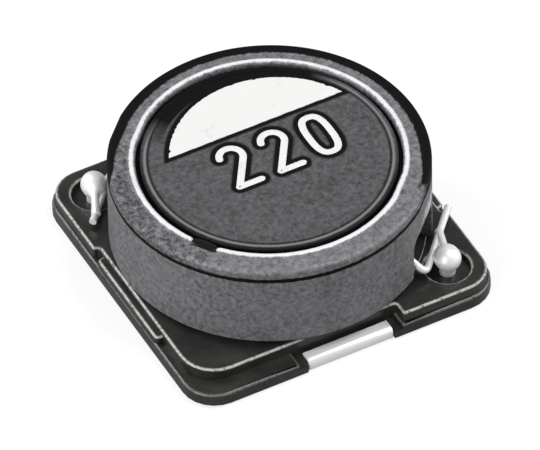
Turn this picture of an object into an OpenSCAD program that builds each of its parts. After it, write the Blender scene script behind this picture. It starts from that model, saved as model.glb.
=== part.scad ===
// Shielded surface-mount power inductor: a wound ferrite drum inside a ferrite ring,
// standing on a square moulded base with two wrap-round terminals.
// Millimetres, +Z up. The origin is the middle of the plane that the pads stand on.
// Side A is the terminal side at -Y; side B is the same turned by 180 degrees.

/* [Overall] */
// Side of the square base
base_w = 12.5; // [12:0.1:13.5]
// Height from the pads to the top of the ring
total_h = 4.8; // [4.5:0.1:6]

/* [Base] */
// Gap between the pads' underside and the plastic
pad_drop = 0.1; // [0.05:0.01:0.12]
// Thickness of the low flange
flange_t = 0.5; // [0.45:0.05:0.7]
// Radius of the flange's corners in plan
corner_r = 1.3; // [1:0.1:1.6]
// Height of the corner blocks above the flange
block_h = 0.45; // [0.3:0.05:0.5]
// Height of the ring's seat above the flange
seat_h = 0.55; // [0.5:0.05:0.7]
// How far the seat's edge lies inside the ring's outer face
seat_inset = 0.2; // [0.1:0.05:0.4]
// Set-back of the plain corner blocks from the left and right faces
plain_step_x = 0.35; // [0.25:0.05:0.5]
// Set-back of the plain corner blocks from the terminal faces
plain_step_y = 0.75; // [0.7:0.05:0.9]
// Radius of the plain blocks' corners in plan
plain_r = 1.4; // [1:0.1:1.6]
// Set-back of the hook corner blocks from the outer faces
hook_step = 0.12; // [0.05:0.01:0.2]
// Distance from the middle at which a hook corner block starts
hook_start = 2.2; // [2.15:0.05:2.4]
// Height of the side ledges above the flange
ledge_h = 0.3; // [0.2:0.05:0.4]
// Length of a side ledge from the middle towards the plain corner
ledge_long = 2.8; // [2.4:0.1:3.2]
// Length of a side ledge from the middle towards the hook corner
ledge_short = 1.85; // [1.6:0.05:1.9]
// Width of a side ledge
ledge_w = 0.8; // [0.6:0.05:1]
// Set-back of the side ledges from the outer faces
ledge_step = 0.05; // [0:0.01:0.1]
// Radius of the base's upper edges
edge_r = 0.12; // [0.06:0.01:0.14]
// Radius of the well round each hook
well_r = 0.85; // [0.8:0.05:0.9]
// Depth of the well below the block's top
well_depth = 0.3; // [0.2:0.05:0.4]
// Diameter of the shallow ejector marks underneath
ejector_d = 1.2; // [0.8:0.1:1.4]
// Depth of the ejector marks and of the gate mark
mark_depth = 0.06; // [0.04:0.01:0.1]
// Diameter of the gate mark in the middle underneath
gate_d = 1.6; // [1:0.1:2]

/* [Terminals] */
// Width of a terminal strip across its pad
terminal_w = 3.45; // [3:0.05:3.8]
// Thickness of the strip
strip_t = 0.15; // [0.12:0.01:0.18]
// Distance of the strip's outer face from the base's outer face
strip_inset = 0.05; // [0:0.01:0.1]
// Length of the pad, inwards from the strip's outer face
pad_len = 2.6; // [2.2:0.1:3]
// Height of the terminal's upper fold above the pads
fold_z = 0.55; // [0.5:0.01:0.6]
// Length of the upper fold, inwards from the strip's outer face
fold_len = 0.52; // [0.4:0.01:0.56]
// Outside radius of the strip's bends
bend_r = 0.22; // [0.19:0.01:0.26]
// Width of the low step in the base beside the terminal, each side
side_gap = 0.38; // [0.2:0.02:0.42]
// Width of the arm that runs to the hook
arm_w = 0.8; // [0.6:0.05:1]
// Width of the hook that stands up from the arm
hook_w = 0.5; // [0.4:0.05:0.5]
// Distance of the hook's middle from the centre, along X and along Y
hook_xy = 4.75; // [4.7:0.01:4.8]
// Height of the hook above the pads
hook_z = 1.75; // [1.6:0.05:1.8]
// Clearance round the strip in the base
strip_gap = 0.04; // [0.02:0.01:0.06]

/* [Shield ring] */
// Outer diameter of the ring
ring_od = 11.8; // [11.6:0.05:11.85]
// Wall of the ring
ring_wall = 1.04; // [0.9:0.02:1.1]
// Radius of the polished bead round the ring's mouth
lip_r = 0.15; // [0.12:0.01:0.18]
// Height of the bead above the ring's shoulder
lip_h = 0.05; // [0.03:0.01:0.08]
// Radius of the shoulder's outer edge
shoulder_r = 0.16; // [0.1:0.01:0.2]
// Height of the pressing line below the ring's top
seam_drop = 0.47; // [0.4:0.01:0.6]
// Depth of the pressing line
seam_r = 0.05; // [0.03:0.01:0.07]
// Chamfer at the ring's foot
foot_c = 0.12; // [0.08:0.01:0.16]
// Width of the notch that lets a lead out
notch_w = 2.3; // [2.1:0.1:2.6]
// Height of the notch
notch_h = 1.85; // [1.6:0.05:2]
// Radius of the notch's upper corners
notch_r = 0.5; // [0.3:0.05:0.6]

/* [Drum core] */
// Clear gap between the drum's flanges and the ring
core_gap = 0.16; // [0.12:0.01:0.2]
// How far the drum's top lies below the ring's top
core_drop = 0.04; // [0.04:0.01:0.1]
// Thickness of the upper flange
top_flange_t = 0.83; // [0.7:0.01:0.95]
// Thickness of the lower flange
low_flange_t = 0.8; // [0.7:0.01:0.9]
// Diameter of the drum's post
post_d = 5.2; // [4.8:0.1:5.6]
// Diameter of the flat face on the drum's top
face_d = 8.84; // [8.7:0.02:8.9]
// Depth of the line round the flat face
face_line_r = 0.04; // [0.02:0.01:0.06]
// Chamfer of the flanges' outer edges
core_c = 0.08; // [0.05:0.01:0.12]

/* [Winding] */
// Diameter of the enamelled wire
wire_d = 0.28; // [0.24:0.01:0.3]
// Spacing of neighbouring turns
wire_pitch = 0.3; // [0.3:0.01:0.34]
// Number of layers of wire
layers = 5; // [3:1:5]
// Height of the lead above the drum's lower flange where it leaves the coil
lead_rise = 0.32; // [0.25:0.01:0.4]
// Direction from the centre in which the lead starts
lead_from = -58; // [-60:1:-56]
// Direction from the centre in which the lead leaves the notch
lead_turn = -53; // [-53.5:0.5:-50]
// Direction square to the straight tinned end of the lead
tail_normal = -42; // [-44:1:-40]
// Gap between the ring and the tinned end on side A
tail_gap = 0.06; // [0.04:0.01:0.1]
// How much further out the tinned end on side B lies
tail_out = 0.22; // [0:0.01:0.24]
// Height of the tinned end's underside above the corner block
tail_rise = 0.16; // [0.14:0.01:0.25]
// Length of side A's tinned end past the foot of its normal
tail_len_a = 2.3; // [1.8:0.1:2.4]
// Length of side B's tinned end past the foot of its normal
tail_len_b = 1.4; // [1.2:0.1:2]

/* [Adhesives and solder] */
// Thickness of the adhesive under the drum
base_glue_t = 0.05; // [0.03:0.01:0.08]
// Diameter of the adhesive under the drum
base_glue_d = 7; // [5:0.5:9]
// How far the adhesive in the ring's mouth lies below the drum's top
gap_glue_drop = 0.2; // [0.15:0.01:0.3]
// Depth of the adhesive in the ring's mouth
gap_glue_h = 0.4; // [0.3:0.05:0.45]
// Radius of a solder lump
lump_r = 0.53; // [0.5:0.01:0.56]
// Radius of the solder round the hook below the lump
stem_r = 0.32; // [0.3:0.01:0.4]
// How far the solder covers the hook's end
lump_over = 0.25; // [0.15:0.01:0.3]
// Radius of the solder's neck to the wire
neck_r = 0.19; // [0.17:0.01:0.2]
// Height of the neck on the hook, below the hook's end
neck_drop = 0.25; // [0.2:0.05:0.35]
// Where the neck meets the wire, past the foot of its normal
neck_at = 0.9; // [0.7:0.05:1]
// Thickness of the collar of solder round the wire where the neck meets it
collar_t = 0.07; // [0.07:0.005:0.08]

/* [Printed mark] */
// Radius of the mark's round edge
mark_r = 3.95; // [3.8:0.05:4.05]
// Shift of the mark's centre along X
mark_x = 0.35; // [0:0.05:0.35]
// Distance of the mark's straight edge from the middle
mark_y = 1.7; // [1.6:0.05:2.1]
// Thickness of the ink
ink_t = 0.03; // [0.02:0.005:0.035]
// How deep the ink's underside keys into the core's ground surface
ink_bed = 0.01; // [0.005:0.005:0.015]

/* [Hidden] */
$fn = 96;
past = 1;                               // how far cutting solids run past a face
flange_top = pad_drop + flange_t;
block_top = flange_top + block_h;
seat_top = flange_top + seat_h;
seat_r = ring_od / 2 - seat_inset;
well_floor = block_top - well_depth;
strip_face = base_w / 2 - strip_inset;  // outer face of the strip, from the middle
ring_h = total_h - seat_top;
ring_ro = ring_od / 2;
ring_ri = ring_ro - ring_wall;
core_r = ring_ri - core_gap;
core_foot = seat_top + base_glue_t;
core_top = total_h - core_drop;
coil_foot = core_foot + low_flange_t;
coil_space = core_top - top_flange_t - coil_foot;
rows = floor(coil_space / wire_pitch);
wire_r = wire_d / 2;
lead_z = coil_foot + lead_rise;
outer_row = post_d / 2 + wire_pitch * layers - wire_r;
tail_z = block_top + tail_rise + wire_r;
tail_a = ring_ro + tail_gap + wire_r;   // distance of the tinned ends from the centre
tail_b = tail_a + tail_out;
tail_side = [-sin(tail_normal), cos(tail_normal), 0];
hook_angle = -45;                       // the hooks stand on the base's diagonal
bend_swell = 1.05;                      // a bend in the wire is this much thicker

// ---------- helpers ----------

// The same shape on both sides of the part, half a turn apart
module both_sides() {
    children();
    rotate([0, 0, 180]) children();
}

// Cross-section of a plate w wide and h high whose two upper edges are rounded
module soft_section(w, h, e) {
    translate([-w / 2, 0]) square([w, h - e]);
    translate([-w / 2 + e, 0]) square([w - 2 * e, h]);
    for (x = [-w / 2 + e, w / 2 - e]) translate([x, h - e]) circle(e);
}

// Plate with round corners in plan (radius r) and rounded upper edges (radius e)
module soft_plate(w, d, h, r, e) {
    rotate([90, 0, 0]) linear_extrude(d - 2 * r, center = true) soft_section(w, h, e);
    rotate([90, 0, 90]) linear_extrude(w - 2 * r, center = true) soft_section(d, h, e);
    for (x = [-w / 2 + r, w / 2 - r], y = [-d / 2 + r, d / 2 - r])
        translate([x, y, 0]) rotate_extrude() {
            square([r, h - e]);
            square([r - e, h]);
            translate([r - e, h - e]) circle(e);
        }
}

// A box given by its lowest and highest corners
module span(low, high) {
    translate(low) cube(high - low);
}

// Round bar from one point to another
module bar(from, to, r) {
    run = to - from;
    translate(from) rotate([0, acos(run.z / norm(run)), atan2(run.y, run.x)])
        cylinder(h = norm(run), r = r);
}

// Wire from one point to another, with a ball for the bend at its end
module wire(from, to, bend = true) {
    bar(from, to, wire_r, $fn = 32);
    if (bend) translate(to) sphere(wire_r * bend_swell, $fn = 32);
}

// The point at a radius and a direction from the centre, at height z
function polar(r, angle, z) = [r * cos(angle), r * sin(angle), z];

// The point on a tinned end at distance r from the centre, this far past its normal's foot
function tail_point(r, past_foot) = polar(r, tail_normal, tail_z) + tail_side * past_foot;

// The point where a lead comes down to its tinned end
function landing(r) = tail_point(r, -r * tan(tail_normal - lead_turn));

// ---------- base ----------

// Corner block beside the hook, from the terminal recess round the corner
module hook_block() {
    intersection() {
        translate([0, 0, pad_drop])
            soft_plate(base_w - 2 * hook_step, base_w - 2 * hook_step,
                       block_top - pad_drop, corner_r - hook_step, edge_r);
        span([hook_start, -base_w, pad_drop], [base_w, -hook_start, block_top + past]);
    }
}

// Low bar along the middle of a side that has no terminal
module side_ledge() {
    translate([base_w / 2 - ledge_step - ledge_w / 2, (ledge_long - ledge_short) / 2,
               flange_top - edge_r])
        soft_plate(ledge_w, ledge_long + ledge_short, ledge_h + edge_r, 2 * edge_r, edge_r);
}

// What the strip of one terminal takes out of the base
module terminal_recess() {
    half = terminal_w / 2;
    open = half + side_gap;
    // the side face, clear of the inside of the strip's bends
    span([-half - strip_gap, -base_w, -past], [half + strip_gap, -strip_face + bend_r, total_h]);
    // the top of the flange, from under the upper fold back to the blocks' face
    span([-open, -base_w, fold_z - strip_t], [open, -base_w / 2 + plain_step_y, total_h]);
    // the pad and the arm underneath
    span([-half - strip_gap, -base_w, -past], [half + strip_gap, -strip_face + pad_len, strip_t]);
    span([0, -hook_xy - arm_w / 2 - strip_gap, -past],
         [hook_xy + strip_t / 2 + strip_gap, -hook_xy + arm_w / 2 + strip_gap, strip_t]);
    // the slot and the well of the hook
    span([hook_xy - strip_t / 2 - strip_gap - bend_r, -hook_xy - arm_w / 2 - strip_gap, -past],
         [hook_xy + strip_t / 2 + strip_gap, -hook_xy + arm_w / 2 + strip_gap, bend_r + strip_t]);
    span([hook_xy - strip_t / 2 - strip_gap, -hook_xy - hook_w / 2 - strip_gap, -past],
         [hook_xy + strip_t / 2 + strip_gap, -hook_xy + hook_w / 2 + strip_gap, block_top + past]);
    translate([hook_xy, -hook_xy, well_floor]) cylinder(h = block_top, r = well_r);
}

module base() {
    color("#1b1b1c") difference() {
        union() {
            translate([0, 0, pad_drop]) {
                soft_plate(base_w, base_w, flange_t, corner_r, edge_r);
                soft_plate(base_w - 2 * plain_step_x, base_w - 2 * plain_step_y,
                           block_top - pad_drop, plain_r, edge_r);
                cylinder(h = seat_top - pad_drop, r = seat_r);
            }
            both_sides() {
                hook_block();
                side_ledge();
            }
        }
        both_sides() terminal_recess();
        // ejector marks near the plain corners and the gate mark in the middle
        both_sides() translate([-hook_xy, -hook_xy, pad_drop - past])
            cylinder(h = past + mark_depth, d = ejector_d);
        translate([0, 0, pad_drop - past]) cylinder(h = past + mark_depth, d = gate_d);
    }
}

// ---------- terminals ----------

// Side view of the wrap: pad, side and upper fold, with round bends; X is inwards
module wrap_section() {
    difference() {
        union() {
            translate([bend_r, 0]) square([pad_len - bend_r, fold_z]);
            translate([0, bend_r]) square([pad_len, fold_z - 2 * bend_r]);
            for (z = [bend_r, fold_z - bend_r]) translate([bend_r, z]) circle(bend_r);
        }
        translate([bend_r, strip_t]) square([pad_len, fold_z - 2 * strip_t]);
        translate([strip_t, bend_r]) square([pad_len, fold_z - 2 * bend_r]);
        for (z = [bend_r, fold_z - bend_r]) translate([bend_r, z]) circle(bend_r - strip_t);
        translate([fold_len, strip_t]) square([pad_len, fold_z]);
    }
}

// Side view of the hook: arm and upright, with a round bend; X runs to the hook
module hook_section() {
    end = hook_xy + strip_t / 2;
    difference() {
        union() {
            square([end - bend_r, strip_t]);
            translate([end - strip_t, bend_r]) square([strip_t, hook_z - bend_r]);
            translate([end - bend_r, bend_r]) circle(bend_r);
        }
        translate([end - bend_r, bend_r]) circle(bend_r - strip_t);
        translate([end - 2 * bend_r, strip_t]) square([2 * bend_r - strip_t, 2 * bend_r]);
    }
}

// The hook from its bend upwards is narrower than its arm
module hook_solid() {
    translate([0, -hook_xy, 0]) rotate([90, 0, 0]) {
        linear_extrude(hook_w, center = true) hook_section();
        linear_extrude(arm_w, center = true) intersection() {
            hook_section();
            square([base_w, bend_r]);
        }
    }
}

module terminal() {
    color("#d9dadb") {
        translate([-terminal_w / 2, -strip_face, 0])
            rotate([90, 0, 90]) linear_extrude(terminal_w) wrap_section();
        hook_solid();
    }
}

module terminal_a() {
    terminal();
}

module terminal_b() {
    rotate([0, 0, 180]) terminal();
}

// ---------- core and winding ----------

module drum_core() {
    height = core_top - core_foot;
    color("#3d3d3f") difference() {
        translate([0, 0, core_foot]) rotate_extrude() difference() {
            polygon([[0, 0], [core_r - core_c, 0], [core_r, core_c], [core_r, low_flange_t],
                     [post_d / 2, low_flange_t], [post_d / 2, height - top_flange_t],
                     [core_r, height - top_flange_t], [core_r, height - core_c],
                     [core_r - core_c, height], [0, height]]);
            translate([face_d / 2, height]) circle(face_line_r);
        }
        mark_film();
    }
}

module base_adhesive() {
    color("#8f8468") translate([0, 0, seat_top]) cylinder(h = base_glue_t, d = base_glue_d);
}

// A lead's tinned end: straight across the corner, at distance r from the centre
module lead_end(r, len) {
    wire(landing(r), tail_point(r, len), bend = false);
}

// A whole lead: over the lower flange, down through the ring's notch, along the corner
module lead(r, len) {
    rim = polar(ring_ri, lead_turn, lead_z);
    wire(polar(outer_row, lead_from, lead_z), rim);
    wire(rim, landing(r));
    lead_end(r, len);
}

module winding() {
    inner = post_d / 2;
    color("#b0642d") {
        translate([0, 0, coil_foot]) rotate_extrude() {
            translate([inner, 0]) square([outer_row - inner, rows * wire_pitch]);
            for (row = [0 : rows - 1])
                translate([outer_row, (row + 0.5) * wire_pitch]) circle(wire_r);
        }
        lead(tail_a, tail_len_a);
        rotate([0, 0, 180]) lead(tail_b, tail_len_b);
    }
}

// ---------- solder ----------

// Round lump on the hook's end with a neck to the tinned end at distance r
module solder_lump(r, len) {
    top = hook_z + lump_over;
    difference() {
        union() {
            translate([hook_xy, -hook_xy, well_floor]) rotate_extrude() {
                square([stem_r, top - well_floor - lump_r]);
                intersection() {
                    translate([0, top - well_floor - lump_r]) circle(lump_r);
                    square(2 * top);
                }
            }
            bar([hook_xy, -hook_xy, hook_z - neck_drop], tail_point(r, neck_at), neck_r);
            translate(tail_point(r, neck_at)) sphere(wire_r + collar_t);
        }
        hook_solid();
        lead_end(r, len);
    }
}

module solder_joint_a() {
    color("#e4e5e6") solder_lump(tail_a, tail_len_a);
}

module solder_joint_b() {
    color("#e4e5e6") rotate([0, 0, 180]) solder_lump(tail_b, tail_len_b);
}

// ---------- shield ring ----------

// Half section of the ring with its mouth bead, shoulder, pressing line and foot
module ring_section() {
    shoulder_z = ring_h - lip_h;
    difference() {
        union() {
            polygon([[ring_ri, foot_c], [ring_ri + foot_c, 0], [ring_ro - foot_c, 0],
                     [ring_ro, foot_c], [ring_ro, shoulder_z - shoulder_r],
                     [ring_ro - shoulder_r, shoulder_z], [ring_ri + lip_r, shoulder_z],
                     [ring_ri, ring_h - lip_r]]);
            translate([ring_ro - shoulder_r, shoulder_z - shoulder_r]) circle(shoulder_r);
            translate([ring_ri + lip_r, ring_h - lip_r]) circle(lip_r);
        }
        translate([ring_ro, ring_h - seam_drop]) circle(seam_r);
    }
}

// Slot through the wall at the foot, with round upper corners
module lead_notch() {
    rotate([90, 0, hook_angle + 90]) linear_extrude(2 * ring_ro) {
        translate([-notch_w / 2, -past]) square([notch_w, notch_h - notch_r + past]);
        translate([-notch_w / 2 + notch_r, 0]) square([notch_w - 2 * notch_r, notch_h]);
        for (x = [-1, 1]) translate([x * (notch_w / 2 - notch_r), notch_h - notch_r])
            circle(notch_r);
    }
}

module shield_ring() {
    color("#6f6f73") translate([0, 0, seat_top]) difference() {
        rotate_extrude() ring_section();
        both_sides() lead_notch();
    }
}

module gap_adhesive() {
    top = core_top - gap_glue_drop;
    color("#26241f") translate([0, 0, top - gap_glue_h]) difference() {
        cylinder(h = gap_glue_h, r = ring_ri);
        translate([0, 0, -past]) cylinder(h = gap_glue_h + 2 * past, r = core_r);
    }
}

// ---------- printed mark ----------

// Segment of a disc beside the winding's start; its underside keys into the core
module mark_film() {
    translate([mark_x, 0, core_top - ink_bed]) linear_extrude(ink_t) intersection() {
        circle(mark_r);
        translate([-mark_r, mark_y]) square([2 * mark_r, mark_r]);
    }
}

module start_mark() {
    color("#f4f4f2") mark_film();
}

base();
terminal_a();
terminal_b();
drum_core();
base_adhesive();
winding();
solder_joint_a();
solder_joint_b();
shield_ring();
gap_adhesive();
start_mark();
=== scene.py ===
# %% [markdown]
# # A shielded power inductor
# A small surface-mount choke: a ferrite drum wound with copper wire sits inside a ferrite
# ring, and both stand on a square black moulding with two tinned terminals. The packed
# CAD model gives every place and size. This lesson dresses it: each piece gets a finer
# mesh worked out with numpy, and a material that starts from what the real one is.

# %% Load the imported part
import math

import bmesh
import bpy
import numpy as np
from mathutils import Matrix, Vector
from mathutils.geometry import tessellate_polygon


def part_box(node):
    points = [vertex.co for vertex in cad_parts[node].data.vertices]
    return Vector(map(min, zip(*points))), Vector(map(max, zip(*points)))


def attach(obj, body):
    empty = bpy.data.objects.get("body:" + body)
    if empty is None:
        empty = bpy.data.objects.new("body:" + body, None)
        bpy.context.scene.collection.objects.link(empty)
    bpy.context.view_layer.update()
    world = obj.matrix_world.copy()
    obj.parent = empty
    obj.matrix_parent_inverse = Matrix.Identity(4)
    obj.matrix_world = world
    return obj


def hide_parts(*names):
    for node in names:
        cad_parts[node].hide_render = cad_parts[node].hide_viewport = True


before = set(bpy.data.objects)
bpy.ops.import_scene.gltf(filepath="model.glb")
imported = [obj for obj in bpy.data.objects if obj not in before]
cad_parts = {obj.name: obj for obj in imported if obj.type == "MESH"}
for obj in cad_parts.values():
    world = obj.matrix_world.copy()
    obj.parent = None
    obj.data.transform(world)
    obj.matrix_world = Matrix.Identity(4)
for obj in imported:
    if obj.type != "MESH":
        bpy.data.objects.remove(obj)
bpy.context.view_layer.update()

MM = 0.001

# %% [markdown]
# ## Sizes
# The pieces meet the CAD's own, so each size is read from a node's box where the box
# tells it. What a box can't tell, such as a bead's radius, repeats the CAD's value.


# %% Read the sizes from the nodes, in millimetres
def box_mm(node):
    """The lowest and the highest corner of a node."""
    low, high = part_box(node)
    return np.array(low) / MM, np.array(high) / MM


base_low, base_high = box_mm("base")
ring_high, solder_high = box_mm("shield_ring")[1], box_mm("solder_joint_a")[1]
core_low, core_high = box_mm("drum_core")
strip_low, strip_high = box_mm("terminal_a")
gap_low, gap_high = box_mm("gap_adhesive")
glue_low, glue_high = box_mm("base_adhesive")
mark_low, mark_high = box_mm("start_mark")

HALF = base_high[0]          # half of the base's side
BASE_FOOT = base_low[2]
SEAT_Z = base_high[2]        # the ring and the drum stand at this height
RING_R = ring_high[0]
RING_TOP = ring_high[2]
BORE_R = gap_high[0]         # the ring's bore
CORE_R = core_high[0]
CORE_FOOT, CORE_TOP = core_low[2], core_high[2]
FLANGE_TOP, BLOCK_TOP, LEDGE_TOP = 0.6, 1.05, 0.9
HOOK_XY, HOOK_TOP = 4.75, strip_high[2]
STRIP_T, STRIP_FACE = 0.15, -strip_low[1]    # thickness; distance of its face from the axis
print(f"ring {2 * RING_R:.2f} mm across, drum {2 * CORE_R:.2f} mm, seat at {SEAT_Z:.2f} mm")

# %% [markdown]
# ## From arrays to meshes
# Most pieces are grids: row after row of points, where each point joins the next one along
# and the next row's. One function gives such a grid its faces, closed round a loop or with
# a fan at each end, and another makes the mesh. Edges sharper than an angle are marked, so
# that moulded corners stay crisp and curves stay smooth.


# %% Grid to mesh
def grid_faces(rows, columns, loop_rows, loop_columns):
    """Quads of a grid. Point k = row * columns + column joins the next column and row, and the
    last row or column joins the first where it is a loop."""
    i = np.arange(rows if loop_rows else rows - 1)[:, None]
    j = np.arange(columns if loop_columns else columns - 1)[None, :]
    k = lambda a, b: (a % rows) * columns + b % columns
    return np.stack([k(i, j), k(i, j + 1), k(i + 1, j + 1), k(i + 1, j)], -1).reshape(-1, 4)


def volume(points, triangles):
    """Signed volume: a sixth of the sum of each triangle's corner product a . (b x c)."""
    a, b, c = (points[triangles[:, n]] for n in range(3))
    return np.einsum("ij,ij->i", a, np.cross(b, c)).sum() / 6


def split(faces):
    """Each face as a fan of triangles from its first corner."""
    return np.array([(f[0], f[n], f[n + 1]) for f in faces for n in range(1, len(f) - 1)])


def faced(shape):
    """The closed shape with its faces outwards: a negative volume turns them all over."""
    points, faces = shape
    if volume(points, split(faces)) < 0:
        faces = [f[::-1] for f in faces]
    return points, faces


def shade(mesh, sharp):
    """Smooth shading, apart from edges that bend by more than an angle in degrees."""
    mesh.shade_smooth()
    mesh.set_sharp_from_angle(angle=math.radians(sharp))


def make_mesh(name, shape, sharp=35):
    """A mesh of a closed shape in millimetres, with its faces outwards."""
    points, faces = faced(shape)
    mesh = bpy.data.meshes.new(name)
    mesh.from_pydata((points * MM).tolist(), [], faces)
    mesh.validate()
    shade(mesh, sharp)
    return mesh


def grid(points, loop_rows=False, loop_columns=False, caps=True):
    """(points, faces) of a grid given as an array rows x columns x 3. Open rows of a tube get
    a cap at each end, a fan round the end row's middle."""
    rows, columns = points.shape[:2]
    flat = points.reshape(-1, 3)
    faces = grid_faces(rows, columns, loop_rows, loop_columns).tolist()
    if caps and loop_columns and not loop_rows:
        for row, turn in ((0, -1), (rows - 1, 1)):
            middle = len(flat)
            flat = np.vstack([flat, points[row].mean(0)])
            ring = row * columns + np.arange(columns)
            pairs = np.stack([ring, np.roll(ring, -1)], 1)[:, ::turn]
            faces += [[a, b, middle] for a, b in pairs.tolist()]
    return flat, faces


def unit(vectors):
    """Each vector at length 1."""
    return vectors / np.linalg.norm(vectors, axis=-1, keepdims=True)


def join(*shapes):
    """Several (points, faces) shapes as one."""
    points, faces, start = [], [], 0
    for p, f in shapes:
        points.append(p)
        faces += [[v + start for v in face] for face in f]
        start += len(p)
    return np.vstack(points), faces


def merge(*shapes):
    """Several closed shapes as one, each with its faces outwards."""
    return join(*[faced(shape) for shape in shapes])


def turned(shape):
    """The same shape half a turn round Z."""
    return shape[0] * [-1, -1, 1], shape[1]


# %% [markdown]
# A finished piece rides on the part's one body and stands for its CAD node, which it
# hides.


# %% Place a piece
def new_object(name, data):
    """A mesh, lamp or camera put into the scene."""
    made = bpy.data.objects.new(name, data)
    bpy.context.scene.collection.objects.link(made)
    return made


def place(name, mesh, material, slot, *nodes):
    """Makes the piece of a mesh, with its finish, and hides the CAD nodes that it stands for.
    """
    piece = new_object(name, mesh)
    mesh.materials.append(material)
    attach(piece, "root")
    if nodes:
        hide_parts(*nodes)
    print(f"{name}: {len(mesh.vertices)} points, {len(mesh.polygons)} faces")


# %% [markdown]
# ## Finishes
# Colours are written as sRGB hex, and shaders reckon with linear light. One small function
# adds a node with its settings and its links, and the others call it. Patterns read Object
# coordinates, which are metres here, so a noise scale is one over the real size of its grain.


# %% Colour and node helpers
def linear(code):
    """sRGB hex to linear RGBA: ((s + 0.055) / 1.055) ** 2.4 above 0.04045, s / 12.92 below."""
    s = [int(code[i:i + 2], 16) / 255 for i in (1, 3, 5)]
    return [v / 12.92 if v <= 0.04045 else ((v + 0.055) / 1.055) ** 2.4 for v in s] + [1]


def add(material, kind, inputs=None, **settings):
    """Adds a node. An input is a value, a hex colour, or a socket to link from."""
    tree = material.node_tree
    node = tree.nodes.new("ShaderNode" + kind)
    for name, value in settings.items():
        setattr(node, name, value)
    for socket, value in (inputs or {}).items():
        if isinstance(value, bpy.types.NodeSocket):
            tree.links.new(value, node.inputs[socket])
        else:
            value = linear(value) if isinstance(value, str) else value
            node.inputs[socket].default_value = value
    return node


def new_material(name):
    """An empty material, and the coordinates that its patterns read."""
    material = bpy.data.materials.new(name)
    material.use_nodes = True
    material.node_tree.nodes.clear()
    where = add(material, "TexCoord").outputs["Object"]
    return material, where


def noise(material, where, size, detail, roughness=0.5):
    """Noise with features of a size in millimetres, as its coordinates are metres."""
    return add(material, "TexNoise", {
        "Vector": where, "Scale": 1 / (size * MM), "Detail": detail,
        "Roughness": roughness}).outputs[0]


def own(material, name):
    """The number that the mesh's points carry under this name."""
    return add(material, "Attribute", attribute_name=name).outputs["Fac"]


def math_node(material, operation, first, second):
    """The sum, difference or product of two numbers."""
    return add(material, "Math", {0: first, 1: second}, operation=operation).outputs[0]


def blend_colours(material, factor, first, second):
    """Colour that goes from first to second as the factor goes from 0 to 1."""
    return add(material, "Mix", {0: factor, 6: first, 7: second}, data_type="RGBA").outputs[2]


def ramp(material, factor, low, high, start=0, end=1):
    """start where the factor is at low, end where it is at high, straight between."""
    return add(material, "MapRange", {0: factor, 1: low, 2: high, 3: start, 4: end}).outputs[0]


def finish_with(material, surface):
    """Closes a material with its surface."""
    add(material, "OutputMaterial", {"Surface": surface.outputs[0]})
    return material


def coat(material, colour, roughness, height=None, relief=0, **more):
    """Closes a material with a principled surface, whose bumps rise by relief millimetres
    where height is 1. More inputs are named with low lines for spaces."""
    inputs = {"Base Color": colour, "Roughness": roughness}
    inputs |= {name.replace("_", " "): value for name, value in more.items()}
    if height:
        inputs["Normal"] = add(material, "Bump", {
            "Strength": 1.0, "Distance": relief * MM, "Height": height}).outputs[0]
    return finish_with(material, add(material, "BsdfPrincipled", inputs))


# %% [markdown]
# Sintered nickel-zinc ferrite is a dark grey ceramic. The ring is used as fired: its skin
# is a mid grey with lighter and darker specks where grains stand out, and it is dull. The
# drum is darker and was ground flat on top. Grains of a few micrometres can't show at this
# size, so the speckle is drawn as clusters of about 0.2 mm in clouds seven times as wide.


# %% Ferrite
SPECK = 0.18                      # size of one cluster of grains
FERRITE_IOR = 1.75                # it reflects more than a plastic, whose index is 1.45


def speckle(material, where, dark, middle, light):
    """Colour from two noises, clouds and the lighter clusters in them, and the finer one."""
    coarse = noise(material, where, 7 * SPECK, 4.0, 0.7)
    fine = noise(material, where, SPECK, 4.0, 0.75)
    base = blend_colours(material, ramp(material, coarse, 0.36, 0.64), dark, middle)
    return blend_colours(material, ramp(material, fine, 0.34, 0.68), base, light), fine


def ring_ferrite():
    """Fired ferrite. One attribute of the mesh paints a near-white highlight, on the bead and
    in a streak over a tunnel; another paints shade, near black with less sheen, in the pressing
    line and on the shoulder at the back and left. Both have broken edges."""
    material, where = new_material("fired nickel-zinc ferrite")
    colour, fine = speckle(material, where, "#2b2b2e", "#48484b", "#7c7c80")
    broken = ramp(material, fine, 0.3, 0.7, -0.22, 0.22)
    bright, shaded = [ramp(material, math_node(material, change, own(material, name), broken),
                         0.25, 0.78)
                    for name, change in (("painted_highlight", "ADD"), ("painted_shade", "SUBTRACT"))]
    # painted shade: near black, with less sheen
    colour = blend_colours(material, shaded, colour, "#0b0b0c")
    # painted highlight: near white on the bead and over the tunnels
    colour = blend_colours(material, bright, colour, "#d8d8dc")
    return coat(material, colour, ramp(material, bright, 0, 1, 0.55, 0.3), fine, 0.02,
                IOR=FERRITE_IOR, Specular_IOR_Level=ramp(material, shaded, 0, 1, 0.5, 0.05))


def core_ferrite():
    """Ground ferrite. One attribute darkens it beside the ink, whose binder stains it, and also
    paints shade: in the fine line round the ground face, on the rim by the gap at the front,
    and a shadow at the back. "rim" is 1 on the paler band outside the ground face."""
    material, where = new_material("ground nickel-zinc ferrite")
    colour, fine = speckle(material, where, "#0f0f11", "#262628", "#555558")
    dark = ramp(material, own(material, "bleed_and_shade"), 0.1, 0.75)
    colour = blend_colours(material, own(material, "rim"), colour, "#6a6a6d")
    # near black: the ink's stain and the painted shade
    colour = blend_colours(material, dark, colour, "#0a0a0b")
    return coat(material, colour, 0.55, fine, 0.012, IOR=FERRITE_IOR,
                Specular_IOR_Level=ramp(material, dark, 0, 1, 0.4, 0.05))


ring_skin, core_skin = ring_ferrite(), core_ferrite()
print("ferrite:", ring_skin.name, "and", core_skin.name)

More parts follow.
